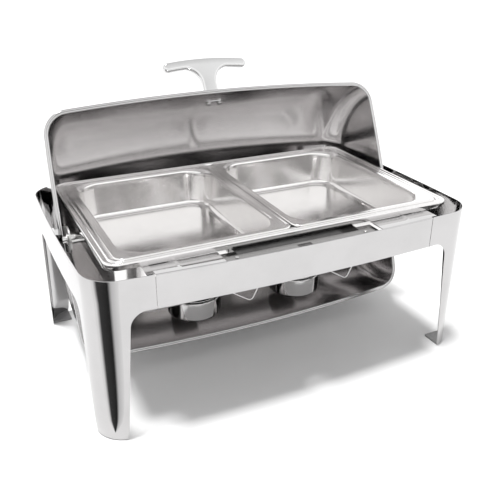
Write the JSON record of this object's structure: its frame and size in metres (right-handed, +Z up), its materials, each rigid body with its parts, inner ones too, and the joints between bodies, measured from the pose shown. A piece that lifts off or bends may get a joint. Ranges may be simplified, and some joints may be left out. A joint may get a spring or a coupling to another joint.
{
  "type": "roll top chafer",
  "caption": "Polished stainless roll top chafer with an open half-barrel lid, a water pan holding two half-size food pans, and two covered fuel burners.",
  "frame": {"origin": "on the floor, at the middle of the frame's length and depth", "axes": "+X to the right along the length, +Y from front to back, +Z up"},
  "size_m": [0.6294, 0.4154, 0.4531],
  "materials": {
    "frame_steel": "mirror polished stainless sheet",
    "lid_steel": "satin inside, polished outside",
    "pan_steel": "bright drawn stainless",
    "satin_steel": "satin",
    "turned_steel": "turned",
    "fastener_steel": "bright",
    "burner_steel": "polished, heat tinted near the flame",
    "cast_chrome": "polished plating",
    "can_tin": "tinplate",
    "pad_rubber": "matt"
  },
  "bodies": {
    "frame": {"left_end_frame": "frame_steel", "right_end_frame": "frame_steel", "front_rail": "frame_steel", "rear_rail": "frame_steel", "front_ledge": "satin_steel", "ledge_rivets": "fastener_steel", "splice_plates": "satin_steel", "foot_pads": "pad_rubber", "pivot_bracket_left": "cast_chrome", "pivot_bracket_right": "cast_chrome", "bracket_studs": "fastener_steel", "bracket_nuts": "fastener_steel", "pivot_shaft_left": "turned_steel", "pivot_shaft_right": "turned_steel", "spacer_tube_left": "turned_steel", "spacer_tube_right": "turned_steel", "pivot_washers": "fastener_steel", "shaft_clips": "fastener_steel", "water_pan": "pan_steel", "pan_lug_left": "satin_steel", "pan_lug_right": "satin_steel", "burner_hanger_left": "satin_steel", "burner_hanger_right": "satin_steel", "hanger_rivets": "fastener_steel"},
    "lid": {"lid_shell": "lid_steel", "lid_hinge_plate_left": "satin_steel", "lid_hinge_plate_right": "satin_steel", "hinge_plate_rivets": "fastener_steel", "lid_handle": "cast_chrome", "handle_screws": "fastener_steel"},
    "pan_left": {"food_pan_left": "pan_steel"},
    "pan_right": {"food_pan_right": "pan_steel"},
    "burner_left": {"burner_holder_left": "burner_steel", "fuel_can_left": "can_tin", "cover_pin_left": "fastener_steel"},
    "burner_right": {"burner_holder_right": "burner_steel", "fuel_can_right": "can_tin", "cover_pin_right": "fastener_steel"},
    "cover_left": {"burner_cover_left": "burner_steel", "wire_handle_left": "burner_steel"},
    "cover_right": {"burner_cover_right": "burner_steel", "wire_handle_right": "burner_steel"}
  },
  "joints": [
    {"name": "lid_roll", "type": "hinge", "parent": "frame", "child": "lid", "pos_m": [0, 0, 0.232], "axis": [1, 0, 0], "range_deg": [0, 112]},
    {"name": "food_pan_left_lift", "type": "slide", "parent": "frame", "child": "pan_left", "axis": [0, 0, 1], "range_m": [0, 0.045]},
    {"name": "food_pan_right_lift", "type": "slide", "parent": "frame", "child": "pan_right", "axis": [0, 0, 1], "range_m": [0, 0.045]},
    {"name": "burner_left_slide", "type": "slide", "parent": "frame", "child": "burner_left", "axis": [0, -1, 0], "range_m": [0, 0.12]},
    {"name": "burner_right_slide", "type": "slide", "parent": "frame", "child": "burner_right", "axis": [0, -1, 0], "range_m": [0, 0.12]},
    {"name": "cover_left_swing", "type": "hinge", "parent": "burner_left", "child": "cover_left", "pos_m": [-0.05, 0, 0.1], "axis": [0, 0, 1], "range_deg": [0, 110]},
    {"name": "cover_right_swing", "type": "hinge", "parent": "burner_right", "child": "cover_right", "pos_m": [0.144, 0, 0.1], "axis": [0, 0, 1], "range_deg": [0, 110]}
  ]
}
